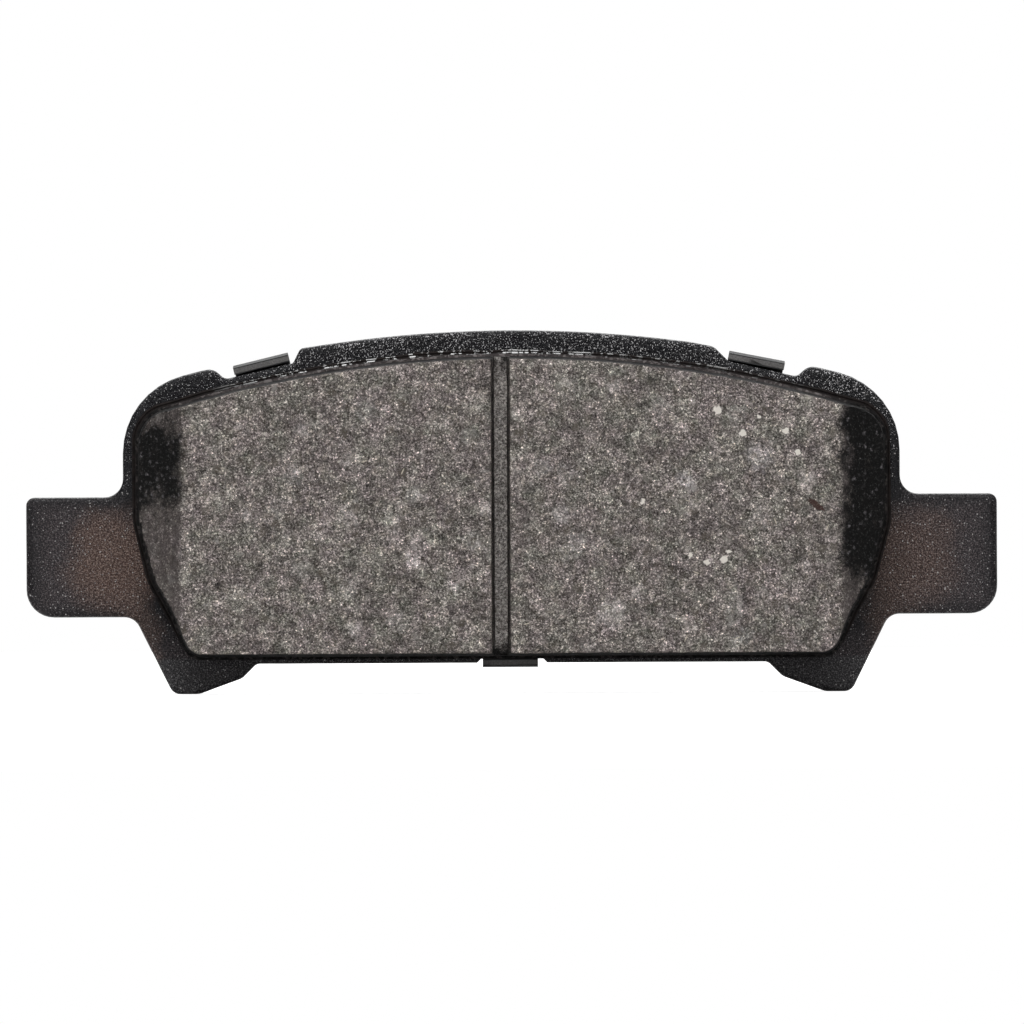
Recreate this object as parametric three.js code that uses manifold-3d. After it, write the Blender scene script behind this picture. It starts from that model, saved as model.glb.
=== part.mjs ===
// Disc brake pad: a stamped steel backing plate with two ears, a moulded lining keyed into it, and a
// rubber-coated steel shim that clips over the plate's edges with three tabs.
// Millimetres. +X runs along the pad, +Z points to the disc's rim and -Y to the disc.
// The origin is on the shim's outer face, midway between the two ears and at the middle of their height.
import * as THREE from "three";
import { mergeVertices } from "three/addons/utils/BufferGeometryUtils.js";
import Module from "manifold-3d";

// Thicknesses, from the piston's side to the disc's.
const RUBBER_T = 0.12;
const SHIM_STEEL_T = 0.5;
const PLATE_T = 5.0;
const UNDERLAYER_T = 1.2;
const FRICTION_T = 7.8;

// Backing plate, seen from the disc's side. Lengths along X are from the pad's middle.
const EAR_REACH = 52.6;
const EAR_HALF_HEIGHT = 6.5;
const EAR_TOP_R = 0.9;
const EAR_BOTTOM_R = 3.0;
const BODY_HALF = 42.1;
const CROWN_Z = 24.4;
const CROWN_R = 140;
const SHOULDER_DROP = 0.15; // the crown's arc outside the notches lies this much lower
const FOOT_Z = -14.87;
const BELLY_Z = -11.62;
const DIE_ROLL = 0.5; // rounding of the edge on the disc's side, where the punch pressed
const KEY_HOLE_R = 4.5;
const KEY_HOLES = [[-28, 3], [-12, 6], [12, 6], [28, 3]];
const KEY_CLEARANCE = 0.15;

// Lining
const LINING_HALF = 40.4;
const LINING_TOP_Z = 21.6;
const LINING_TOP_R = 128;
const LINING_BOTTOM_Z = -10.87;
const LINING_DRAFT = 0.4; // how far its sides draw in from the underlayer to the friction face
const UNDERLAYER_LIP = 0.25;
const CHAMFER_X = 35.4;
const CHAMFER_DEPTH = 3.5;
const SLOT_X = -1.15;
const SLOT_FACE_HALF = 1.03;
const SLOT_FLOOR_HALF = 0.65;
const SLOT_DEPTH = 6.0;

// Shim
const SHIM_HALF = 39.4;
const SHIM_TOP_Z = 21.8;
const SHIM_BOTTOM_Z = -10.6;
const SHIM_SHIFT = -0.2; // it has settled to one side of its clearance in the notches
const OVER_BEND = THREE.MathUtils.degToRad(5);
const TAB_ROOT = 2.5; // how far a tab's root runs down into the sheet
const RELIEF_R = 0.8; // round cuts in the sheet beside a root, so that the bend doesn't tear it
const RELIEF_DEPTH = 0.9; // from the edge that the tab wraps down to their centres
// Each tab points along tilt, from +Z towards +X. It stands lift clear of the edge at (x, z) that it wraps.
const TOP_TAB = { width: 6.1, lift: 0.5, bendR: 0.4, leg: 3.6 };
const LEFT_TAB = { ...TOP_TAB, x: -26.75, z: 20.25, tilt: THREE.MathUtils.degToRad(-13.6) };
const RIGHT_TAB = { ...TOP_TAB, x: 26.75, z: 20.35, tilt: THREE.MathUtils.degToRad(11) };
const BOTTOM_TAB = { x: 0, z: -11.17, tilt: Math.PI, width: 6.0, lift: 0.25, bendR: 0.2, leg: 2.0 };

const ARC_SEGMENTS = 4; // three.js doubles it for each rounded corner
const ROUND_SEGMENTS = 24;
const BEYOND = 100; // larger than the pad, for the tools that cut it
const OVERCUT = 1; // how far a tool runs past the faces that it opens

const plateBack = -(2 * RUBBER_T + SHIM_STEEL_T);
const plateFront = plateBack - PLATE_T;
const underlayerFront = plateFront - UNDERLAYER_T;
const frictionFace = underlayerFront - FRICTION_T;

const wasm = await Module();
wasm.setup();

function toSolid(geometry) {
  geometry.deleteAttribute("normal");
  geometry.deleteAttribute("uv");
  const merged = mergeVertices(geometry);
  return new wasm.Manifold(new wasm.Mesh({
    numProp: 3,
    vertProperties: new Float32Array(merged.attributes.position.array),
    triVerts: new Uint32Array(merged.index.array),
  }));
}

function toMesh(name, solid, material) {
  const { vertProperties, triVerts } = solid.getMesh();
  const geometry = new THREE.BufferGeometry();
  geometry.setAttribute("position", new THREE.BufferAttribute(vertProperties, 3));
  geometry.setIndex(new THREE.BufferAttribute(triVerts, 1));
  geometry.computeVertexNormals();
  const mesh = new THREE.Mesh(geometry, new THREE.MeshStandardMaterial(material));
  mesh.name = name;
  return mesh;
}

// A closed outline through corners [x, z, radius], each rounded by an arc that touches both of its sides.
function roundedShape(corners) {
  const shape = new THREE.Shape();
  const point = (i) => new THREE.Vector2(...corners.at(i % corners.length));
  corners.forEach(([x, z, radius], i) => {
    if (!radius) {
      if (i) shape.lineTo(x, z);
      else shape.moveTo(x, z);
      return;
    }
    const corner = new THREE.Vector2(x, z);
    const back = point(i - 1).sub(corner).normalize();
    const ahead = point(i + 1).sub(corner).normalize();
    const halfAngle = Math.acos(back.dot(ahead)) / 2;
    const reach = radius / Math.tan(halfAngle);
    const inward = back.clone().add(ahead).normalize();
    const centre = inward.multiplyScalar(radius / Math.sin(halfAngle)).add(corner);
    const start = back.clone().multiplyScalar(reach).add(corner).sub(centre);
    const end = ahead.clone().multiplyScalar(reach).add(corner).sub(centre);
    shape.absarc(centre.x, centre.y, radius, start.angle(), end.angle(), start.cross(end) < 0);
  });
  shape.closePath();
  return shape;
}

// Points of a shallow arch from x = from to x = to, whose highest point is at x = 0, z = top.
function arch(top, radius, from, to, count) {
  const z = (x) => top - radius + Math.sqrt(radius ** 2 - x ** 2);
  const steps = Array.from({ length: count + 1 }, (_, i) => from + ((to - from) * i) / count);
  return steps.map((x) => [x, z(x), 0]);
}

// The corners of the right half, from the top clockwise, and a mirror image of them or of another half.
function mirrored(rightHalf, otherHalf = rightHalf) {
  const leftHalf = otherHalf.filter(([x]) => x > 0).map(([x, z, r]) => [-x, z, r]);
  return [...rightHalf, ...leftHalf.reverse()];
}

// A flat piece of this outline, from y = back towards the disc.
function slab(shape, back, thickness) {
  const geometry = new THREE.ExtrudeGeometry(shape, {
    depth: thickness, bevelEnabled: false, curveSegments: ARC_SEGMENTS,
  });
  return toSolid(geometry.rotateX(Math.PI / 2).translate(0, back, 0));
}

// The same, with the edge on the disc's side drawn in by inset over a height of rise.
function slabWithBevel(shape, back, thickness, rise, inset, bevelSegments) {
  const doubled = new THREE.ExtrudeGeometry(shape, {
    depth: 2 * (thickness - rise), bevelThickness: rise, bevelSize: inset, bevelOffset: -inset,
    bevelSegments, curveSegments: ARC_SEGMENTS,
  });
  const middle = back + thickness - rise;
  const behind = new THREE.BoxGeometry(2 * BEYOND, BEYOND, 2 * BEYOND).translate(0, back + BEYOND / 2, 0);
  return toSolid(doubled.rotateX(Math.PI / 2).translate(0, middle, 0)).subtract(toSolid(behind));
}

// A prism along Z through the whole pad, from its [x, y] corners.
function cutterAlongZ(corners) {
  const shape = new THREE.Shape(corners.map(([x, y]) => new THREE.Vector2(x, y)));
  const geometry = new THREE.ExtrudeGeometry(shape, { depth: BEYOND, bevelEnabled: false });
  return toSolid(geometry.translate(0, 0, -BEYOND / 2));
}

function roundBar(x, z, radius, from, to) {
  const geometry = new THREE.CylinderGeometry(radius, radius, to - from, ROUND_SEGMENTS);
  return toSolid(geometry.translate(x, (from + to) / 2, z));
}

// Half of the plate's outline. Its notch for a shim tab has this corner at the top of the inner wall.
function plateHalf(notchCorner) {
  return [
    ...arch(CROWN_Z, CROWN_R, 0, 19.5, 10),
    notchCorner,
    [23.6, 20.95, 0.5], // the foot of the inner wall, the floor and the outer wall
    [31.0, 19.25, 1.0],
    [32.3, 20.4, 1.4],
    ...arch(CROWN_Z - SHOULDER_DROP, CROWN_R, 33.6, 35.4, 1),
    [BODY_HALF, 17.95, 8.7],
    [BODY_HALF, EAR_HALF_HEIGHT, 2.0],
    [EAR_REACH, EAR_HALF_HEIGHT, EAR_TOP_R],
    [EAR_REACH, -EAR_HALF_HEIGHT, EAR_BOTTOM_R],
    [40.9, -EAR_HALF_HEIGHT, 1.8],
    [36.75, FOOT_Z, 1.3],
    [33.9, FOOT_Z, 2.5],
    [29.3, -13.2, 1.5],
    [27.7, BELLY_Z, 1.0],
    [3.8, BELLY_Z, 0], // a shallow seat for the bottom tab
    [3.35, BOTTOM_TAB.z, 0],
  ];
}

function plateShape() {
  return roundedShape(mirrored(plateHalf([22.0, 22.55, 1.5]), plateHalf([22.8, 22.55, 0.7])));
}

function backingPlate() {
  const blank = slabWithBevel(plateShape(), plateBack, PLATE_T, DIE_ROLL, DIE_ROLL, 2);
  return KEY_HOLES.reduce(
    (plate, [x, z]) => plate.subtract(roundBar(x, z, KEY_HOLE_R, plateFront - OVERCUT, plateBack + OVERCUT)),
    blank,
  );
}

function liningShape(lip) {
  const half = LINING_HALF + lip;
  const bottom = LINING_BOTTOM_Z - lip;
  return roundedShape(mirrored([
    ...arch(LINING_TOP_Z + lip, LINING_TOP_R, 0, 36.0, 14),
    [half, 15.2 + lip, 4.0],
    [half, 3.8, 6.0],
    [38.75 + lip, -2.6, 5.0],
    [36.65 + lip, -6.4, 5.0],
    [34.9 + lip, bottom, 2.3],
  ]));
}

function underlayer() {
  const layer = slab(liningShape(UNDERLAYER_LIP), plateFront, UNDERLAYER_T);
  const plugR = KEY_HOLE_R - KEY_CLEARANCE;
  const plugRoot = plateFront - UNDERLAYER_T / 2;
  const plugEnd = plateBack - KEY_CLEARANCE;
  return KEY_HOLES.reduce((solid, [x, z]) => solid.add(roundBar(x, z, plugR, plugRoot, plugEnd)), layer);
}

function frictionBlock() {
  const block = slabWithBevel(liningShape(0), underlayerFront, FRICTION_T, FRICTION_T, LINING_DRAFT, 1);
  const slot = cutterAlongZ([
    [SLOT_X - SLOT_FLOOR_HALF, frictionFace + SLOT_DEPTH],
    [SLOT_X - SLOT_FACE_HALF, frictionFace],
    [SLOT_X - SLOT_FACE_HALF, frictionFace - OVERCUT],
    [SLOT_X + SLOT_FACE_HALF, frictionFace - OVERCUT],
    [SLOT_X + SLOT_FACE_HALF, frictionFace],
    [SLOT_X + SLOT_FLOOR_HALF, frictionFace + SLOT_DEPTH],
  ]);
  const slope = CHAMFER_DEPTH / (LINING_HALF - CHAMFER_X);
  const outside = LINING_HALF + OVERCUT;
  const chamfer = (side) => cutterAlongZ([
    [side * CHAMFER_X, frictionFace],
    [side * outside, frictionFace + slope * (outside - CHAMFER_X)],
    [side * outside, frictionFace - OVERCUT],
    [side * (CHAMFER_X - OVERCUT / slope), frictionFace - OVERCUT],
  ]);
  return block.subtract(slot).subtract(chamfer(-1)).subtract(chamfer(1));
}

function shimShape() {
  return roundedShape(mirrored([
    ...arch(SHIM_TOP_Z, CROWN_R, 0, 34.5, 12),
    [SHIM_HALF, 15.6, 4.5],
    [SHIM_HALF, -0.5, 3.0],
    [34.6, SHIM_BOTTOM_Z, 2.5],
  ]));
}

// One layer of a tab, from its root in the sheet over the plate's edge. near and far are the layer's
// distances from the plate's back face.
function tabLayer({ x, z, tilt, width, lift, bendR, leg }, near, far) {
  const bendY = plateBack - bendR;
  const bendV = lift - bendR;
  const end = Math.PI / 2 + OVER_BEND;
  const tip = (radius) => [
    bendY + radius * Math.cos(end) - leg * Math.sin(end),
    bendV + radius * Math.sin(end) + leg * Math.cos(end),
  ];
  const profile = new THREE.Shape();
  profile.moveTo(plateBack + far, -TAB_ROOT);
  profile.absarc(bendY, bendV, bendR + far, 0, end, false);
  profile.lineTo(...tip(bendR + far));
  profile.lineTo(...tip(bendR + near));
  profile.absarc(bendY, bendV, bendR + near, end, 0, true);
  profile.lineTo(plateBack + near, -TAB_ROOT);
  const geometry = new THREE.ExtrudeGeometry(profile, {
    depth: width, bevelEnabled: false, curveSegments: ARC_SEGMENTS,
  });
  const through = new THREE.Vector3(0, 1, 0);
  const outward = new THREE.Vector3(Math.sin(tilt), 0, Math.cos(tilt));
  const along = new THREE.Vector3().crossVectors(through, outward);
  const place = new THREE.Matrix4().makeBasis(through, outward, along).setPosition(x, 0, z);
  return toSolid(geometry.translate(0, 0, -width / 2).applyMatrix4(place));
}

// The shim's sheet with a round cut on each side of a tab's root.
function withReliefs(sheet, { x, z, tilt, width }) {
  const beside = width / 2 + RELIEF_R;
  return [-beside, beside].reduce((cut, along) => cut.subtract(roundBar(
    x + along * Math.cos(tilt) - RELIEF_DEPTH * Math.sin(tilt),
    z - along * Math.sin(tilt) - RELIEF_DEPTH * Math.cos(tilt),
    RELIEF_R, plateBack - OVERCUT, OVERCUT,
  )), sheet);
}

function shimLayer(near, far) {
  const tabs = [LEFT_TAB, RIGHT_TAB, BOTTOM_TAB];
  const sheet = tabs.reduce(withReliefs, slab(shimShape(), plateBack + far, far - near));
  return tabs.reduce((solid, tab) => solid.add(tabLayer(tab, near, far)), sheet);
}

const pad = new THREE.Group();
pad.add(
  toMesh("backing_plate", backingPlate(), { color: 0x1c1b1a, roughness: 0.45, metalness: 0.2 }),
  toMesh("underlayer", underlayer(), { color: 0x4a4744, roughness: 0.85, metalness: 0 }),
  toMesh("friction_block", frictionBlock(), { color: 0x6b645d, roughness: 0.9, metalness: 0 }),
);

const shim = new THREE.Group();
shim.position.x = SHIM_SHIFT;
const rubber = { color: 0x232322, roughness: 0.7, metalness: 0 };
const steelNear = RUBBER_T;
const steelFar = RUBBER_T + SHIM_STEEL_T;
shim.add(
  toMesh("shim_inner_rubber", shimLayer(0, steelNear), rubber),
  toMesh("shim_steel", shimLayer(steelNear, steelFar), { color: 0x8a8884, roughness: 0.4, metalness: 0.9 }),
  toMesh("shim_outer_rubber", shimLayer(steelFar, steelFar + RUBBER_T), rubber),
);
pad.add(shim);

export default pad;
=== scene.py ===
import math

import bmesh
import bpy
from mathutils import Matrix, Vector, noise


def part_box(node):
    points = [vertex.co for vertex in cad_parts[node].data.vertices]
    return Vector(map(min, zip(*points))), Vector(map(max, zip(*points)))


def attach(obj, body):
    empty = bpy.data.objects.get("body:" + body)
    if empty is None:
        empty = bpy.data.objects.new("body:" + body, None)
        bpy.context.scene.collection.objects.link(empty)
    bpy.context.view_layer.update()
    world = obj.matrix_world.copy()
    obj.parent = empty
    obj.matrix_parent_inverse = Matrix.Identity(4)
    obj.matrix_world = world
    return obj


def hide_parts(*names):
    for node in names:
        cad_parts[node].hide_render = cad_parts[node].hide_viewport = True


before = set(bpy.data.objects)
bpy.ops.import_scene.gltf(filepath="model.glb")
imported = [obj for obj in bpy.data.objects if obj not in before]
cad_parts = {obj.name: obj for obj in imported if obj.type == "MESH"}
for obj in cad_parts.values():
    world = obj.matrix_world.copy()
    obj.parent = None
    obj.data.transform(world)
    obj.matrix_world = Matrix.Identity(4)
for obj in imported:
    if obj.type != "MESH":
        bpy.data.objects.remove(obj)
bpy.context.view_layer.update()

M = 0.001
SNAP = 1e-4  # points nearer than this are one point


def node_box(name):
    """A CAD node's lowest and highest corner, in millimetres."""
    low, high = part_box(name)
    return low / M, high / M


PLATE_LOW, PLATE_HIGH = node_box("backing_plate")
LINING_LOW, LINING_HIGH = node_box("friction_block")
BASE_LOW, _ = node_box("underlayer")
FLOOR_Z = PLATE_LOW.z
PLATE_FRONT = PLATE_LOW.y
PLATE_BACK = PLATE_HIGH.y
FACE = LINING_LOW.y  # the friction face
LINING_BACK = LINING_HIGH.y

SHEARED_DEPTH = 2.2  # how far the plate's edge is smooth from its front, before the fracture begins
# Places on the lining that its paint and its wear follow
SLOT_X = -1.15
SLOT_HALF = 1.1  # a little more than the slot's own half width
SLOT_DEPTH = 6.0
CHAMFER_SPAN = 5.2  # from a chamfer's inner edge to the lining's end
SPRAY_PAST_CHAMFER = 0.9  # how far overspray runs in over a chamfer's inner edge
# Large pale flakes in the friction face: X, Z, radius and tone
FLAKES = [
    (10.8, -6.3, 2.2, (0.38, 0.35, 0.34)), (5.5, 4.4, 1.4, (0.38, 0.36, 0.355)),
    (18.7, 8.1, 1.2, (0.39, 0.38, 0.39)), (26.7, 10.5, 2.0, (0.33, 0.32, 0.325)),
    (-4.4, 1.5, 1.4, (0.40, 0.37, 0.36)), (-10.5, -0.4, 1.2, (0.42, 0.39, 0.37)),
    (-17.0, -8.0, 1.1, (0.38, 0.35, 0.34)), (-23.4, 8.7, 1.2, (0.26, 0.245, 0.24)),
    (3.4, 9.5, 1.3, (0.33, 0.315, 0.31)), (-15.5, 15.6, 1.5, (0.27, 0.25, 0.24)),
    (-10.4, 6.6, 1.4, (0.30, 0.28, 0.27)), (-6.5, -3.6, 1.0, (0.36, 0.34, 0.33)),
    (7.0, 1.5, 1.5, (0.30, 0.28, 0.28)), (21.5, -1.0, 0.9, (0.36, 0.30, 0.28)),
    (25.0, -8.6, 1.3, (0.24, 0.235, 0.23)),
]
FLAKE_LIFT = 4.9  # a flake brightens the composite by this times its tone
# Single white grains: X, Z and radius
WHITE_GRAINS = [
    (22.2, 15.6, 0.52), (24.9, 13.0, 0.42), (29.5, 13.3, 0.42), (30.8, 11.0, 0.34), (26.6, 14.8, 0.30),
    (22.8, -0.5, 0.45), (21.0, -0.8, 0.40), (19.3, 0.0, 0.30), (23.3, 0.3, 0.28), (14.1, 5.8, 0.30),
]
SCRATCH = ((31.7, 6.1), (33.9, 4.6))  # X and Z of its ends

# Camera
CAMERA_DISTANCE = 1200.0
VIEW_WIDTH = 110.94
VIEW_CENTRE = (0.05, 4.71)
VIEW_ROLL = math.radians(0.27)
SENSOR = 36.0

# Light
SKY_STRENGTH = 0.12
FLOOR_HALF = 0.36  # metres
FLOOR_GLOW = 0.85  # brings the floor to white where the camera sees it


# ---------------------------------------------------------------- camera, lights and floor

def make_camera():
    data = bpy.data.cameras.new("camera")
    data.sensor_width = SENSOR
    data.lens = SENSOR * CAMERA_DISTANCE / VIEW_WIDTH
    data.clip_start = 0.1
    data.clip_end = 20.0
    camera = bpy.data.objects.new("camera", data)
    bpy.context.scene.collection.objects.link(camera)
    right = Vector((math.cos(VIEW_ROLL), 0, -math.sin(VIEW_ROLL)))
    up = Vector((math.sin(VIEW_ROLL), 0, math.cos(VIEW_ROLL)))
    turned = Matrix((right, up, (0, -1, 0))).transposed()
    place = Vector((VIEW_CENTRE[0], PLATE_FRONT - CAMERA_DISTANCE, VIEW_CENTRE[1])) * M
    camera.matrix_world = Matrix.Translation(place) @ turned.to_4x4()
    bpy.context.scene.camera = camera


def add_softbox(name, azimuth, elevation, distance, size, power):
    """A square area light facing the pad. Azimuth 0 is in front of the friction face, 90 to its right."""
    a, e = math.radians(azimuth), math.radians(elevation)
    away = Vector((math.sin(a) * math.cos(e), -math.cos(a) * math.cos(e), math.sin(e)))
    data = bpy.data.lights.new(name, "AREA")
    data.shape = "SQUARE"
    data.size = size
    data.energy = power
    light = bpy.data.objects.new(name, data)
    light.location = away * distance
    light.rotation_mode = "QUATERNION"
    light.rotation_quaternion = away.to_track_quat("Z", "Y")
    bpy.context.scene.collection.objects.link(light)


def make_lights():
    """Softboxes in metres and watts: two high ones, one in front, one on each side and one behind."""
    add_softbox("key", -14, 52, 0.9, 0.4, 2.9)
    add_softbox("overhead", 0, 86, 0.9, 0.5, 3.0)
    add_softbox("front_fill", 4, 20, 1.1, 0.5, 2.0)
    add_softbox("left_fill", -50, 16, 1.0, 0.6, 1.3)
    add_softbox("right_fill", 50, 16, 1.0, 0.6, 1.0)
    add_softbox("back_fill", 180, 40, 1.1, 0.8, 4.5)


def make_world():
    """White where the camera sees it, and a weak grey light for the pad."""
    world = bpy.data.worlds.new("studio")
    world.use_nodes = True
    tree = world.node_tree
    tree.nodes.clear()
    path = tree.nodes.new("ShaderNodeLightPath")
    seen = tree.nodes.new("ShaderNodeBackground")
    seen.inputs["Color"].default_value = (1, 1, 1, 1)
    seen.inputs["Strength"].default_value = 1.0
    lighting = tree.nodes.new("ShaderNodeBackground")
    lighting.inputs["Color"].default_value = (1, 1, 1, 1)
    lighting.inputs["Strength"].default_value = SKY_STRENGTH
    mix = tree.nodes.new("ShaderNodeMixShader")
    out = tree.nodes.new("ShaderNodeOutputWorld")
    tree.links.new(path.outputs["Is Camera Ray"], mix.inputs[0])
    tree.links.new(lighting.outputs[0], mix.inputs[1])
    tree.links.new(seen.outputs[0], mix.inputs[2])
    tree.links.new(mix.outputs[0], out.inputs["Surface"])
    bpy.context.scene.world = world


def make_floor():
    bm = bmesh.new()
    bmesh.ops.create_grid(bm, x_segments=8, y_segments=8, size=FLOOR_HALF)
    mesh = bpy.data.meshes.new("floor")
    bm.to_mesh(mesh)
    bm.free()
    floor = bpy.data.objects.new("floor", mesh)
    floor.location.z = FLOOR_Z * M
    bpy.context.scene.collection.objects.link(floor)
    paper = Shader("floor_paper")
    fibre = paper.noise(4.0, detail=3)
    paper.colour(paper.ramp(fibre, [(0.3, (0.76, 0.76, 0.76)), (0.7, (0.79, 0.79, 0.785))]))
    paper.fixed("Roughness", 0.9)
    paper.fixed("Specular IOR Level", 0.1)
    seen = paper.tree.nodes.new("ShaderNodeLightPath").outputs["Is Camera Ray"]
    paper.fixed("Emission Color", (1, 1, 1, 1))
    paper.put(paper.bsdf.inputs["Emission Strength"], paper.times(seen, FLOOR_GLOW))
    mesh.materials.append(paper.material)


# ---------------------------------------------------------------- materials

class Shader:
    """A node material that is laid out in millimetres in the pad's own frame."""

    def __init__(self, name):
        self.material = bpy.data.materials.new(name)
        self.material.use_nodes = True
        self.tree = self.material.node_tree
        self.tree.nodes.clear()
        out = self.tree.nodes.new("ShaderNodeOutputMaterial")
        self.bsdf = self.tree.nodes.new("ShaderNodeBsdfPrincipled")
        self.tree.links.new(self.bsdf.outputs[0], out.inputs["Surface"])
        coords = self.tree.nodes.new("ShaderNodeTexCoord")
        self.place = self.vector("SCALE", coords.outputs["Object"], Scale=1 / M)

    def put(self, socket, value):
        if isinstance(value, bpy.types.NodeSocket):
            self.tree.links.new(value, socket)
        elif isinstance(value, tuple) and socket.type == "RGBA" and len(value) == 3:
            socket.default_value = (*value, 1)
        else:
            socket.default_value = value

    def fixed(self, socket, value):
        self.bsdf.inputs[socket].default_value = value

    def colour(self, value):
        self.put(self.bsdf.inputs["Base Color"], value)

    def roughness(self, value):
        self.put(self.bsdf.inputs["Roughness"], value)

    def math(self, operation, a, b=0.0, clamp=False):
        node = self.tree.nodes.new("ShaderNodeMath")
        node.operation = operation
        node.use_clamp = clamp
        self.put(node.inputs[0], a)
        self.put(node.inputs[1], b)
        return node.outputs[0]

    def times(self, a, b):
        return self.math("MULTIPLY", a, b)

    def vector(self, operation, a, b=(0, 0, 0), **named):
        node = self.tree.nodes.new("ShaderNodeVectorMath")
        node.operation = operation
        self.put(node.inputs[0], a)
        self.put(node.inputs[1], b)
        for key, value in named.items():
            self.put(node.inputs[key], value)
        single = operation in ("LENGTH", "DISTANCE", "DOT_PRODUCT")
        return node.outputs["Value" if single else "Vector"]

    def axis(self, which):
        """The place along X, Y or Z."""
        node = self.tree.nodes.new("ShaderNodeSeparateXYZ")
        self.put(node.inputs[0], self.place)
        return node.outputs[which]

    def shifted(self, amount, at=None):
        return self.vector("ADD", at or self.place, (amount * 7.3, amount * 3.1, amount * 5.7))

    def noise(self, size, detail=2.0, rough=0.5, seed=0, at=None):
        node = self.tree.nodes.new("ShaderNodeTexNoise")
        self.put(node.inputs["Vector"], self.shifted(seed, at))
        node.inputs["Scale"].default_value = 1 / size
        node.inputs["Detail"].default_value = detail
        node.inputs["Roughness"].default_value = rough
        return node.outputs["Fac"]

    def wobbled(self, size, amount, seed=0):
        """The place, moved about by up to amount."""
        node = self.tree.nodes.new("ShaderNodeTexNoise")
        self.put(node.inputs["Vector"], self.shifted(seed))
        node.inputs["Scale"].default_value = 1 / size
        centred = self.vector("SUBTRACT", node.outputs["Color"], (0.5, 0.5, 0.5))
        return self.vector("ADD", self.place, self.vector("SCALE", centred, Scale=2 * amount))

    def cells(self, size, seed=0, at=None):
        """Grains of this size: two random numbers for each, and the distance to its middle."""
        node = self.tree.nodes.new("ShaderNodeTexVoronoi")
        self.put(node.inputs["Vector"], self.shifted(seed, at))
        node.inputs["Scale"].default_value = 1 / size
        split = self.tree.nodes.new("ShaderNodeSeparateColor")
        self.put(split.inputs[0], node.outputs["Color"])
        return split.outputs[0], split.outputs[1], node.outputs["Distance"]

    def ramp(self, value, stops):
        """Blends from stop to stop, where each is (position, grey or colour)."""
        node = self.tree.nodes.new("ShaderNodeValToRGB")
        self.put(node.inputs[0], value)
        elements = node.color_ramp.elements
        while len(elements) < len(stops):
            elements.new(0.5)
        for element, (position, level) in zip(elements, stops):
            element.position = position
            element.color = (*level, 1) if isinstance(level, tuple) else (level, level, level, 1)
        return node.outputs["Color"]

    def step(self, value, start, end):
        """0 below start, 1 above end, and smooth between them."""
        node = self.tree.nodes.new("ShaderNodeMapRange")
        node.interpolation_type = "SMOOTHSTEP"
        self.put(node.inputs["Value"], value)
        falling = start > end
        node.inputs["From Min"].default_value = min(start, end)
        node.inputs["From Max"].default_value = max(start, end)
        node.inputs["To Min"].default_value = 1.0 if falling else 0.0
        node.inputs["To Max"].default_value = 0.0 if falling else 1.0
        return node.outputs[0]

    def mix(self, share, a, b, blend="MIX"):
        node = self.tree.nodes.new("ShaderNodeMix")
        node.data_type = "RGBA"
        node.blend_type = blend
        self.put(node.inputs[0], share)
        self.put(node.inputs[6], a)
        self.put(node.inputs[7], b)
        return node.outputs[2]

    def tinted(self, colour, value, stops):
        """The colour multiplied by a ramp of value."""
        return self.mix(1.0, colour, self.ramp(value, stops), "MULTIPLY")

    def attribute(self, name):
        node = self.tree.nodes.new("ShaderNodeAttribute")
        node.attribute_name = name
        return node.outputs["Fac"]

    def bump(self, height, depth):
        """Adds relief of this depth to what the surface already has."""
        node = self.tree.nodes.new("ShaderNodeBump")
        node.inputs["Distance"].default_value = depth * M
        self.put(node.inputs["Height"], height)
        normal = self.bsdf.inputs["Normal"]
        if normal.is_linked:
            self.put(node.inputs["Normal"], normal.links[0].from_socket)
        self.put(normal, node.outputs[0])


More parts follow.
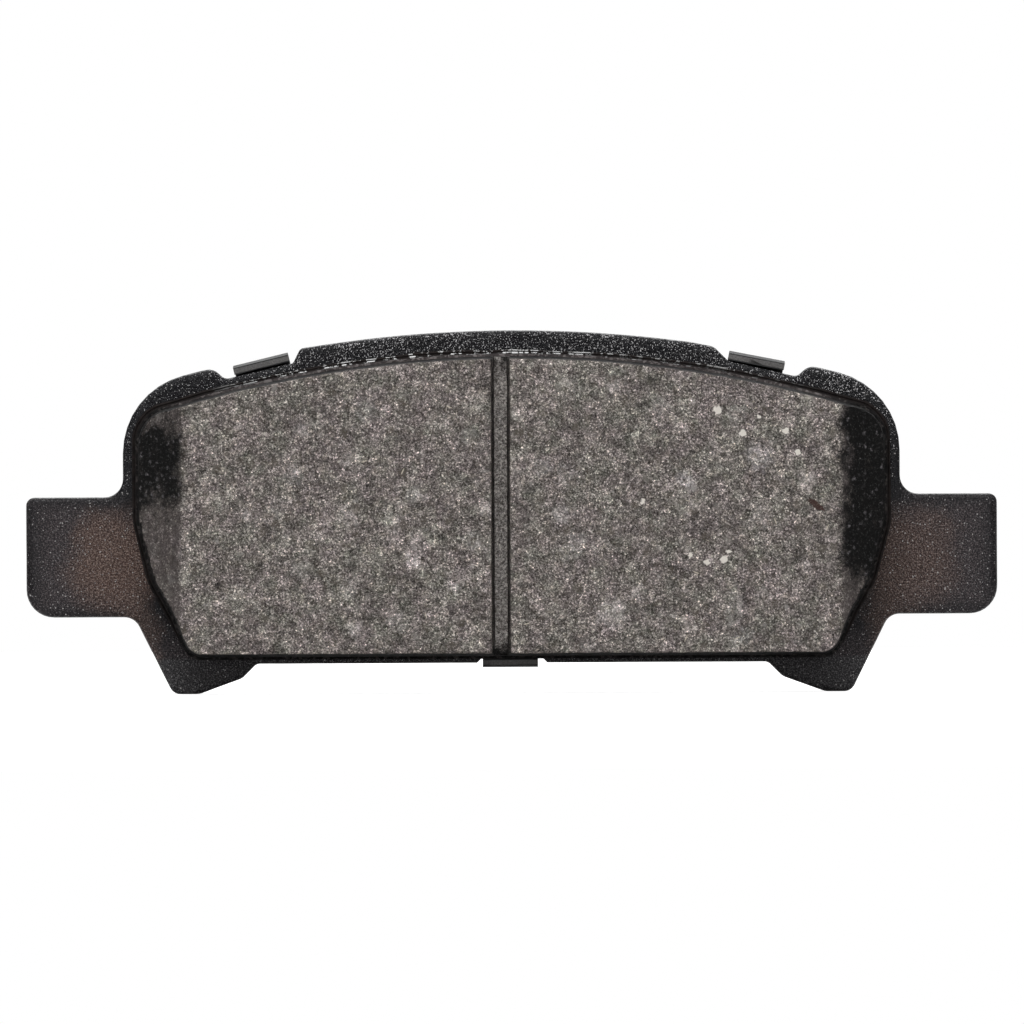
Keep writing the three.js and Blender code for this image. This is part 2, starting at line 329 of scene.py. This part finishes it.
def friction_material():
    """Ground composite: grains, flakes and fibres in a warm grey binder, with overspray on its sides. Its
    colour also holds painted shade in small pits, painted highlights on the overspray's blisters and, on
    the slot's floor, a dusting mixed with painted light.
    """
    s = Shader("friction_composite")
    grit = s.noise(0.22, detail=3, rough=0.85, seed=1)
    body = s.ramp(grit, [(0.27, 0.026), (0.41, 0.088), (0.53, 0.178), (0.62, 0.37), (0.70, 0.9)])
    coarse, tint, _ = s.cells(0.5, seed=2, at=s.wobbled(0.3, 0.22, seed=2))
    body = s.tinted(body, coarse, [(0.0, 0.60), (0.5, 0.97), (1.0, 1.42)])
    fine, spark, _ = s.cells(0.14, seed=3, at=s.wobbled(0.2, 0.06, seed=3))
    body = s.tinted(body, fine, [(0.0, 0.45), (0.5, 0.92), (0.85, 1.25), (1.0, 2.3)])
    mottle = s.noise(1.1, detail=4, rough=0.7, seed=4)
    body = s.tinted(body, mottle, [(0.32, 0.66), (0.5, 1.02), (0.68, 1.5)])
    blotch = s.noise(2.8, detail=3, rough=0.6, seed=5)
    body = s.tinted(body, blotch, [(0.3, 0.76), (0.5, 1.04), (0.7, 1.34)])

    body = s.tinted(body, tint, [
        (0.0, (0.990, 0.910, 0.835)), (0.3, (0.980, 0.907, 0.858)), (0.55, (0.962, 0.905, 0.868)),
        (0.8, (0.978, 0.892, 0.862)), (1.0, (0.945, 0.915, 0.838)),
    ])
    body = s.tinted(body, s.noise(2.2, detail=2, seed=6), [
        (0.32, (1.04, 0.965, 0.98)), (0.5, (1.01, 0.97, 0.945)), (0.66, (0.975, 0.985, 0.925)),
    ])

    ragged = s.wobbled(0.8, 1.1, seed=7)
    torn = s.noise(0.45, detail=4, rough=0.7, seed=8)
    pick, shade, near = s.cells(2.6, seed=7, at=ragged)
    flake = s.times(s.step(pick, 0.84, 0.88), s.step(near, 0.55, 0.3))
    flake = s.times(flake, s.step(torn, 0.40, 0.52))
    flake_tone = s.ramp(shade, [
        (0.0, (0.25, 0.225, 0.21)), (0.5, (0.37, 0.35, 0.32)), (1.0, (0.29, 0.285, 0.275)),
    ])
    lifted = s.mix(1.0, body, (1.52, 1.53, 1.55), "MULTIPLY")
    body = s.mix(s.times(flake, 0.9), body, s.mix(0.25, lifted, flake_tone))
    pick, shade, near = s.cells(1.25, seed=17, at=s.wobbled(0.5, 0.5, seed=17))
    lump = s.times(s.step(pick, 0.80, 0.86), s.step(near, 0.52, 0.3))
    lump_tone = s.ramp(shade, [
        (0.0, (0.075, 0.062, 0.052)), (0.55, (0.10, 0.09, 0.074)), (0.8, (0.34, 0.325, 0.31)),
    ])
    body = s.mix(s.times(lump, s.ramp(fine, [(0.2, 0.72), (0.8, 0.35)])), body, lump_tone)
    for x, z, radius, tone in FLAKES:
        away = s.vector("DISTANCE", ragged, (x, FACE, z))
        patch = s.times(s.step(away, radius, 0.55 * radius), s.step(torn, 0.36, 0.54))
        lift = FLAKE_LIFT * tone[1]
        lifted = s.mix(1.0, body, (lift, 1.02 * lift, 1.05 * lift), "MULTIPLY")
        body = s.mix(s.times(patch, 0.92), body, s.mix(0.25, lifted, tone))

    pick, shade, near = s.cells(0.8, seed=9, at=s.wobbled(0.2, 0.16, seed=9))
    chip = s.times(s.step(pick, 0.90, 0.91), s.step(near, 0.22, 0.14))
    pale = s.ramp(shade, [
        (0.0, (0.42, 0.37, 0.29)), (0.6, (0.52, 0.49, 0.45)), (1.0, (0.75, 0.72, 0.68)),
    ])
    body = s.mix(s.times(chip, 0.85), body, pale)
    body = s.mix(s.times(fibre_mask(s), 0.8), body, (0.55, 0.49, 0.40))
    chipped = s.wobbled(0.42, 0.30, seed=12)
    for x, z, radius in WHITE_GRAINS:
        grain = s.step(s.vector("DISTANCE", chipped, (x, FACE, z)), radius, 0.7 * radius)
        body = s.mix(s.times(grain, 0.93), body, (0.74, 0.70, 0.64))

    # Painted shade: small pits darkened in colour as if in their own shadow.
    hollow, _, depth = s.cells(0.9, seed=13, at=s.wobbled(0.4, 0.3, seed=13))
    pit = s.times(s.step(hollow, 0.84, 0.9), s.step(depth, 0.36, 0.16))
    body = s.mix(s.times(pit, 0.6), body, (0.045, 0.038, 0.034))
    body = s.mix(scratch_mask(s), body, (0.045, 0.022, 0.019))

    body = s.mix(s.times(s.attribute("film"), 0.70), body, (0.060, 0.050, 0.049))
    # The slot's floor: a pale tone, partly a dusting and partly painted light that makes up for the shade
    # down in the deep slot.
    dust_and_light_tone = s.ramp(grit, [
        (0.34, (0.06, 0.053, 0.05)), (0.5, (0.38, 0.345, 0.325)), (0.64, (1.0, 0.95, 0.9)),
    ])
    body = s.mix(s.attribute("slot_dust_and_light"), body, dust_and_light_tone)
    sprayed = s.attribute("paint")
    break_up = s.noise(1.5, detail=7, rough=0.85, seed=14)
    edge = s.math("ADD", sprayed, s.times(s.math("SUBTRACT", break_up, 0.5), 2.2))
    paint = s.times(s.step(edge, 0.12, 0.92), s.step(sprayed, 0.02, 0.15))
    # Painted highlights: pale spots on the black overspray, where its blisters would catch the light.
    blister, _, middle = s.cells(0.62, seed=16, at=s.wobbled(0.4, 0.3, seed=16))
    blister_glint = s.times(s.step(blister, 0.58, 0.85), s.step(middle, 0.48, 0.1))
    paint_tone = s.ramp(grit, [(0.4, 0.0015), (0.58, 0.004), (0.70, 0.07)])
    blister_glint = s.times(blister_glint, s.ramp(fine, [(0.3, 0.25), (0.9, 0.9)]))
    paint_tone = s.mix(blister_glint, paint_tone, (0.15, 0.14, 0.148))
    s.colour(s.mix(s.times(paint, 0.98), body, paint_tone))
    s.roughness(s.mix(paint, s.ramp(fine, [(0.0, 0.9), (1.0, 0.72)]), (0.75, 0.75, 0.75)))
    s.fixed("Specular IOR Level", 0.12)
    s.bump(s.mix(paint, coarse, mottle), 0.05)
    s.bump(spark, 0.02)
    return s.material


def scratch_mask(s):
    """A dark score across the face, with ragged sides."""
    (x0, z0), (x1, z1) = SCRATCH
    middle = ((x0 + x1) / 2, FACE, (z0 + z1) / 2)
    rotate = s.tree.nodes.new("ShaderNodeVectorRotate")
    rotate.rotation_type = "Y_AXIS"
    rotate.inputs["Center"].default_value = middle
    rotate.inputs["Angle"].default_value = math.atan2(z1 - z0, x1 - x0)
    s.put(rotate.inputs["Vector"], s.wobbled(0.5, 0.3, seed=15))
    offset = s.vector("SUBTRACT", rotate.outputs[0], middle)
    away = s.vector("LENGTH", s.vector("MULTIPLY", offset, (2 / math.dist(*SCRATCH), 1.0, 2.6)))
    return s.times(s.step(away, 1.0, 0.6), 0.9)


def fibre_mask(s):
    """Short straight fibres lying in the face at four angles."""
    total = 0.0
    for turn, seed in ((20, 21), (65, 22), (110, 23), (160, 24)):
        rotate = s.tree.nodes.new("ShaderNodeVectorRotate")
        rotate.rotation_type = "Y_AXIS"
        rotate.inputs["Angle"].default_value = math.radians(turn)
        s.put(rotate.inputs["Vector"], s.place)
        squeezed = s.vector("MULTIPLY", rotate.outputs[0], (0.18, 1.0, 1.0))
        pick, _, near = s.cells(0.62, seed=seed, at=squeezed)
        strand = s.times(s.step(pick, 0.955, 0.96), s.step(near, 0.13, 0.08))
        total = s.math("MAXIMUM", total, strand)
    return total


def plate_material():
    """Black powder coat over shot-blasted steel, thin and brown where the ears join the body, with
    painted glints: pale specks in its colour that stand for highlights off the coat, more of them towards
    the top.
    """
    s = Shader("powder_coat")
    peel = s.noise(0.42, detail=3, rough=0.65, seed=1)
    grain = s.noise(0.17, detail=2, rough=0.8, seed=3)
    cloud = s.noise(3.5, detail=4, rough=0.6, seed=4)
    shift = s.times(s.math("SUBTRACT", cloud, 0.5), 5.0)
    across = s.math("ABSOLUTE", s.axis("X"))
    height = s.axis("Z")
    black = s.ramp(grain, [
        (0.35, (0.002, 0.002, 0.003)), (0.58, (0.007, 0.007, 0.009)), (0.75, (0.05, 0.05, 0.055)),
    ])
    worn = s.ramp(grain, [
        (0.3, (0.006, 0.005, 0.006)), (0.5, (0.020, 0.016, 0.018)), (0.66, (0.13, 0.108, 0.11)),
    ])
    brown = s.ramp(grain, [
        (0.3, (0.012, 0.006, 0.005)), (0.5, (0.062, 0.035, 0.028)), (0.66, (0.31, 0.225, 0.19)),
    ])
    dusted = s.ramp(grain, [
        (0.3, (0.010, 0.010, 0.011)), (0.5, (0.026, 0.025, 0.027)), (0.66, (0.15, 0.148, 0.152)),
    ])

    ear = s.times(s.step(s.math("ADD", across, shift), 40.0, 43.5), s.step(height, 8.5, 5.5))
    rim = s.math("MAXIMUM", s.step(s.math("ABSOLUTE", height), 4.4, 6.2), s.step(across, 49.8, 52.2))
    inside_rim = s.math("SUBTRACT", 1.0, s.times(rim, 0.65))
    body = s.mix(s.times(ear, inside_rim), black, worn)
    body = s.mix(s.step(height, -6.0, -11.0), body, s.mix(0.85, black, worn))
    body = s.mix(s.times(s.step(height, -10.8, -11.3), 0.8), body, dusted)
    heat = halo(s, across, height, (42.9, -0.6), (6.6, 6.6), shift)
    side = s.ramp(s.step(s.axis("X"), -1.0, 1.0), [(0.0, 0.95), (1.0, 0.6)])
    body = s.mix(s.times(heat, side), body, brown)
    knee = halo(s, across, height, (40.3, -8.0), (2.6, 5.2), shift)
    body = s.mix(s.times(knee, 0.45), body, brown)

    # Painted glints: pale specks in the coat's colour standing for highlights off its orange peel, more
    # and brighter towards the top edge, where the overhead light falls.
    glint_noise = s.noise(0.165, detail=1, rough=0.8, seed=5)
    glint_density = s.ramp(s.step(s.axis("X"), -36.0, 44.0), [
        (0.0, 0.03), (0.13, 0.078), (0.4, 0.070), (0.9, 0.070), (1.0, 0.11),
    ])
    lift = s.times(s.step(height, 8.0, 22.0), glint_density)
    glint_patchiness = s.times(s.math("SUBTRACT", cloud, 0.5), 0.13)
    painted_glints = s.step(s.math("ADD", s.math("ADD", glint_noise, lift), glint_patchiness), 0.69, 0.72)
    painted_glints = s.times(painted_glints, s.ramp(s.step(height, 6.0, 14.0), [(0.0, 0.45), (1.0, 1.0)]))
    body = s.mix(painted_glints, body, (0.58, 0.57, 0.58))
    # More painted glints: scattered pale specks standing for highlights off the coat.
    pick, strength, near = s.cells(0.27, seed=2, at=s.wobbled(0.2, 0.1, seed=2))
    glint_speck = s.times(s.step(pick, 0.86, 0.88), s.step(near, 0.30, 0.2))
    body = s.mix(s.times(glint_speck, strength), body, (0.55, 0.53, 0.52))
    s.colour(body)
    s.roughness(s.ramp(peel, [(0.3, 0.14), (0.7, 0.30)]))
    s.fixed("Specular IOR Level", 0.22)
    s.bump(peel, 0.22)
    s.bump(grain, 0.06)
    return s.material


def bead_material():
    """The same paint where it ran thick: black, and glossy in places along the crown."""
    s = Shader("thick_paint")
    broken = s.noise(0.9, detail=4, rough=0.7, seed=6)
    s.colour(s.ramp(broken, [
        (0.3, (0.005, 0.004, 0.004)), (0.6, (0.017, 0.013, 0.012)), (0.8, (0.04, 0.034, 0.033)),
    ]))
    thick = s.step(s.axis("Z"), 17.5, 20.5)
    wet = s.times(thick, s.step(broken, 0.50, 0.44))
    s.roughness(s.ramp(wet, [(0.0, 0.6), (1.0, 0.2)]))
    s.fixed("Specular IOR Level", 0.12)
    s.put(s.bsdf.inputs["Coat Weight"], wet)
    s.fixed("Coat Roughness", 0.06)
    s.fixed("Coat IOR", 2.2)
    s.bump(broken, 0.12)
    return s.material


def halo(s, across, height, centre, spread, shift):
    """1 at centre, in |X| and Z, and 0 outside an ellipse with a cloudy edge."""
    along = s.math("DIVIDE", s.math("SUBTRACT", s.math("ADD", across, shift), centre[0]), spread[0])
    up = s.math("DIVIDE", s.math("SUBTRACT", s.math("ADD", height, shift), centre[1]), spread[1])
    squared = s.math("ADD", s.times(along, along), s.times(up, up))
    return s.step(squared, 1.15, 0.05)


def base_material():
    """The lining's denser moulded base: black with overspray, but dusty grey along its upper edge."""
    s = Shader("moulded_base")
    grain, _, _ = s.cells(0.3, seed=1, at=s.wobbled(0.3, 0.1, seed=1))
    bloom = s.noise(1.6, detail=4, rough=0.6, seed=2)
    sprayed = s.ramp(grain, [
        (0.0, (0.006, 0.006, 0.006)), (0.7, (0.016, 0.015, 0.015)), (1.0, (0.05, 0.045, 0.043)),
    ])
    bare = s.ramp(grain, [
        (0.0, (0.04, 0.035, 0.035)), (0.6, (0.085, 0.075, 0.074)), (1.0, (0.18, 0.163, 0.16)),
    ])
    upper = s.step(s.math("ADD", s.axis("Z"), s.times(bloom, 3.0)), 17.0, 19.5)
    s.colour(s.mix(s.times(upper, s.ramp(bloom, [(0.3, 0.6), (0.5, 1.0)])), sprayed, bare))
    s.roughness(s.ramp(bloom, [(0.3, 0.75), (0.7, 0.95)]))
    s.fixed("Specular IOR Level", 0.08)
    s.bump(grain, 0.04)
    return s.material


def rubber_material(name, seed):
    """Calendered rubber coat: dark grey with a fine leathery grain, faint scuffs and a light dusting."""
    s = Shader(name)
    skin, _, _ = s.cells(0.24, seed=seed, at=s.wobbled(0.3, 0.1, seed=seed))
    cloud = s.noise(9.0, detail=4, rough=0.6, seed=seed + 1)
    tone = s.ramp(cloud, [
        (0.3, (0.020, 0.020, 0.021)), (0.55, (0.030, 0.030, 0.031)), (0.75, (0.043, 0.042, 0.042)),
    ])
    drawn = s.vector("MULTIPLY", s.place, (0.08, 1.0, 1.6))
    scuff = s.noise(0.8, detail=5, rough=0.65, seed=seed + 2, at=drawn)
    s.colour(s.mix(s.ramp(scuff, [(0.58, 0.0), (0.8, 0.5)]), tone, (0.11, 0.108, 0.105)))
    s.roughness(s.ramp(scuff, [(0.3, 0.50), (0.7, 0.68)]))
    s.fixed("Specular IOR Level", 0.45)
    s.bump(skin, 0.012)
    s.bump(scuff, 0.01)
    return s.material


def steel_material():
    """Cold-rolled shim steel, seen at its sheared edges: fine shear lines through its thickness."""
    s = Shader("shim_steel_edge")
    drawn = s.vector("MULTIPLY", s.place, (3.0, 0.35, 3.0))
    lines = s.noise(0.5, detail=5, rough=0.7, seed=1, at=drawn)
    stain = s.noise(2.4, detail=3, seed=2)
    tone = s.ramp(lines, [
        (0.3, (0.15, 0.145, 0.142)), (0.55, (0.24, 0.232, 0.23)), (0.75, (0.36, 0.35, 0.345)),
    ])
    s.colour(s.tinted(tone, stain, [(0.3, 0.75), (0.7, 1.0)]))
    s.roughness(s.ramp(lines, [(0.3, 0.5), (0.7, 0.36)]))
    s.fixed("Metallic", 0.75)
    s.bump(lines, 0.02)
    return s.material


# ---------------------------------------------------------------- shapes

def slice_up(bm, axis, planes, parts):
    """Cuts edges and faces at each of these places along an axis: 0 is X, 1 is Y and 2 is Z."""
    if not planes:
        return
    middle = len(planes) // 2
    at = planes[middle]
    normal = Vector([which == axis for which in range(3)])
    cut = bmesh.ops.bisect_plane(bm, geom=parts, dist=SNAP, plane_co=normal * at, plane_no=normal)
    below, above = [], []
    for part in cut["geom"]:
        if isinstance(part, bmesh.types.BMVert):
            continue
        places = [vert.co[axis] for vert in part.verts]
        if min(places) < at - SNAP:
            below.append(part)
        if max(places) > at + SNAP:
            above.append(part)
    slice_up(bm, axis, planes[:middle], below)
    slice_up(bm, axis, planes[middle + 1:], above)


def cad_shape(node, steps):
    """A CAD node's shape in millimetres, cut into a fine lattice along the axes."""
    bm = bmesh.new()
    bm.from_mesh(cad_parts[node].data)
    bmesh.ops.scale(bm, vec=(1 / M,) * 3, verts=bm.verts)
    bmesh.ops.remove_doubles(bm, verts=bm.verts, dist=SNAP)
    bm.normal_update()
    for edge in bm.edges:
        edge.seam = edge.calc_face_angle(0) < math.radians(0.3)
    for axis, step in zip((0, 2, 1), steps):
        low = min(vert.co[axis] for vert in bm.verts)
        size = max(vert.co[axis] for vert in bm.verts) - low
        count = max(1, round(size / step))
        slice_up(bm, axis, [low + size * i / count for i in range(1, count)], bm.edges[:] + bm.faces[:])
    flat = [edge for edge in bm.edges if edge.seam]
    bmesh.ops.dissolve_edges(bm, edges=flat, use_verts=True, use_face_split=False)
    bm.normal_update()
    return bm


def sharpness(vert):
    """0 on a smooth surface, and more where faces meet at an angle."""
    return 1 - min(face.normal.dot(vert.normal) for face in vert.link_faces)


def displace(bm, height):
    """Moves each vertex along its normal by height(vertex), all worked out before any moves."""
    moves = [vert.normal * height(vert) for vert in bm.verts]
    for vert, move in zip(bm.verts, moves):
        vert.co += move


def as_piece(bm, name, node, material, crease):
    """Makes the object, in metres, hangs it on the root body and hides the CAD node it takes the place
    of. Creases above this angle stay sharp.
    """
    bmesh.ops.scale(bm, vec=(M,) * 3, verts=bm.verts)
    mesh = bpy.data.meshes.new(name)
    bm.to_mesh(mesh)
    bm.free()
    mesh.shade_smooth()
    mesh.set_sharp_from_angle(angle=math.radians(crease))
    mesh.materials.append(material)
    piece = bpy.data.objects.new(name, mesh)
    bpy.context.scene.collection.objects.link(piece)
    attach(piece, "root")
    if node:
        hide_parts(node)
    return piece


def clamped(value, low=0.0):
    return min(1.0, max(low, value))


def rough(place, size, seed):
    """Smooth random relief from -1 to 1 with lumps of this size."""
    return noise.noise(place / size + Vector((seed * 11.3, seed * 4.9, seed * 7.7)))


def make_plate():
    step = 0.5
    bm = cad_shape("backing_plate", (step, step, step))

    def height(vert):
        place = vert.co
        wave = 0.012 * rough(place, 4.0, 1) + 0.006 * rough(place, 1.1, 2)
        if place.y > PLATE_BACK - 0.02 or abs(vert.normal.y) > 0.9:
            return wave - 0.06 * min(1, 3 * sharpness(vert))
        torn = clamped((place.y - PLATE_FRONT - SHEARED_DEPTH) / 0.6)  # the punch's rough fracture zone
        return wave + torn * (0.035 * rough(place, 0.7, 3) - 0.03)

    displace(bm, height)
    return as_piece(bm, "plate", "backing_plate", plate_material(), 42)


def unground(vert):
    """1 where the lining was never ground clean: its chamfers and sides."""
    place = vert.co
    if abs(place.x - SLOT_X) < SLOT_HALF:
        return 0.0
    return clamped((place.y - FACE) / 0.25)


def lining_paint(vert):
    """How much overspray a point of the lining carries, from 0 to 1."""
    place, normal = vert.co, vert.normal
    if abs(place.x - SLOT_X) < SLOT_HALF and place.y > FACE + 0.3:
        pooled = max(0, 1 - (place.z - LINING_LOW.z) / 2.5)
        run = max(0, 0.75 - (LINING_HIGH.z - place.z) / 6)
        return max(0.5 if place.y < FACE + 5.6 else 0.0, pooled, run)
    if abs(normal.y) < 0.5:
        return min(1.0, 0.45 + (place.y - FACE) / 3)
    reach_in = abs(place.x) - (LINING_HIGH.x - CHAMFER_SPAN)
    if reach_in < -SPRAY_PAST_CHAMFER:
        return 0.0
    uneven = SPRAY_PAST_CHAMFER * rough(place, 1.8, 8)
    from_edge = clamped((reach_in + SPRAY_PAST_CHAMFER + uneven) / 2.4)
    if place.x > 0:  # black almost down to its lower end
        return clamped((place.z + 4.6) / 3.5) * from_edge
    ragged = place.z + 1.5 * rough(place, 2.2, 7)  # a black field, and only a haze above and below it
    core = clamped((14.6 - ragged) / 2.2) * clamped((ragged - 3.2) / 4.2)
    haze = 0.46 if place.z > 9.8 else min(0.32, max(0.05, (place.z + 8) / 40))
    return max(core, haze) * from_edge


def make_lining():
    step = 0.3
    bm = cad_shape("friction_block", (step, step, 2 * step))
    paint = bm.verts.layers.float.new("paint")
    film = bm.verts.layers.float.new("film")
    slot_dust_and_light = bm.verts.layers.float.new("slot_dust_and_light")
    for vert in bm.verts:
        vert[paint] = lining_paint(vert)
        vert[film] = unground(vert)
        # Marks the slot's floor for its pale tone: partly a dusting, partly painted light against the
        # slot's shade.
        in_slot = abs(vert.co.x - SLOT_X) < SLOT_HALF and vert.co.y > FACE + SLOT_DEPTH - 0.2
        vert[slot_dust_and_light] = 1.0 if in_slot else 0.0

    def height(vert):
        place = vert.co
        if place.y > LINING_BACK - 0.2:
            return 0
        pit = max(0, rough(place, 1.2, 3) - 0.35)
        relief = 0.02 * rough(place, 0.55, 1) + 0.025 * rough(place, 2.6, 2) - 0.22 * pit
        broken = 0.05 + 0.22 * max(0, rough(place, 0.8, 4))
        if abs(vert.normal.y) < 0.3:
            relief += 0.05 * rough(place, 1.4, 5)
        return relief - broken * min(1, 3 * sharpness(vert))

    displace(bm, height)
    back = [
        face for face in bm.faces
        if face.normal.y > 0.9 and face.calc_center_median().y > LINING_BACK - 0.01
    ]
    bmesh.ops.dissolve_faces(bm, faces=back, use_verts=False)
    return as_piece(bm, "lining", "friction_block", friction_material(), 60)


def make_base():
    step = 0.8
    bm = cad_shape("underlayer", (step, step, 0.4))

    def height(vert):
        place = vert.co
        if place.y > PLATE_FRONT - 0.05 or abs(vert.normal.y) > 0.9:
            return 0
        return 0.09 * rough(place, 1.3, 1) + 0.05 * rough(place, 0.5, 2)

    displace(bm, height)
    return as_piece(bm, "lining_base", "underlayer", base_material(), 50)


def base_outline():
    """The lining base's outline as points in X and Z, in order round it."""
    bm = bmesh.new()
    bm.from_mesh(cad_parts["underlayer"].data)
    bmesh.ops.scale(bm, vec=(1 / M,) * 3, verts=bm.verts)
    bmesh.ops.remove_doubles(bm, verts=bm.verts, dist=SNAP)
    rim = {}
    for edge in bm.edges:
        at_front = all(abs(vert.co.y - BASE_LOW.y) < SNAP for vert in edge.verts)
        if at_front and edge.calc_face_angle(0) > 1:
            for one, other in (edge.verts, reversed(edge.verts)):
                rim.setdefault(one.index, []).append(other)
    bm.verts.ensure_lookup_table()
    last, vert, points = None, bm.verts[min(rim)], []
    while not points or vert.index != min(rim):
        points.append(Vector((vert.co.x, vert.co.z)))
        ahead = [other for other in rim[vert.index] if other is not last]
        last, vert = vert, ahead[0]
    return points


def make_paint_bead():
    """The bead of paint that gathered in the corner between the plate and the lining's base."""
    profile = [  # outward from the base and up from the plate
        (-0.15, -0.1), (-0.15, 0.3), (0.05, 0.26), (0.1, 0.1), (0.2, 0.06),
        (0.27, 0.13), (0.36, 0.15), (0.44, 0.09), (0.5, 0.0), (0.5, -0.1),
    ]
    points = base_outline()
    middle = sum(points, Vector((0, 0))) / len(points)
    bm = bmesh.new()
    rings = []
    for i, point in enumerate(points):
        along = (points[(i + 1) % len(points)] - points[i - 1]).normalized()
        out = Vector((along.y, -along.x))
        if out.dot(point - middle) < 0:
            out = -out
        room = clamped((point.y - BASE_LOW.z - 1.0) / 3, 0.12)  # next to nothing along the lower edge
        swell = room * (1 + 0.35 * rough(Vector((point.x, 0, point.y)), 1.6, 4))
        ring = []
        for outward, up in profile:
            edge = point + out * outward * swell
            ring.append(bm.verts.new((edge.x, PLATE_FRONT - up * swell, edge.y)))
        rings.append(ring)
    for ring, ahead in zip(rings, rings[1:] + rings[:1]):
        for i in range(len(profile)):
            j = (i + 1) % len(profile)
            bm.faces.new((ring[i], ring[j], ahead[j], ahead[i]))
    bmesh.ops.recalc_face_normals(bm, faces=bm.faces)
    return as_piece(bm, "paint_bead", None, bead_material(), 50)


def make_shim_layer(name, node, material, seed):
    step = 1.5
    bm = cad_shape(node, (step, step, step))

    def height(vert):
        outer = node == "shim_outer_rubber" and vert.normal.y > 0.9
        return 0.012 * rough(vert.co, 6.0, seed) if outer else 0

    displace(bm, height)
    return as_piece(bm, name, node, material, 35)


make_camera()
make_world()
make_lights()
make_floor()
make_plate()
make_base()
make_paint_bead()
make_lining()
coats = [rubber_material("coat_inside", 1), rubber_material("coat_outside", 5)]
make_shim_layer("shim_coat_inside", "shim_inner_rubber", coats[0], 1)
make_shim_layer("shim_core", "shim_steel", steel_material(), 2)
make_shim_layer("shim_coat_outside", "shim_outer_rubber", coats[1], 3)
bpy.context.scene.view_settings.view_transform = "Standard"
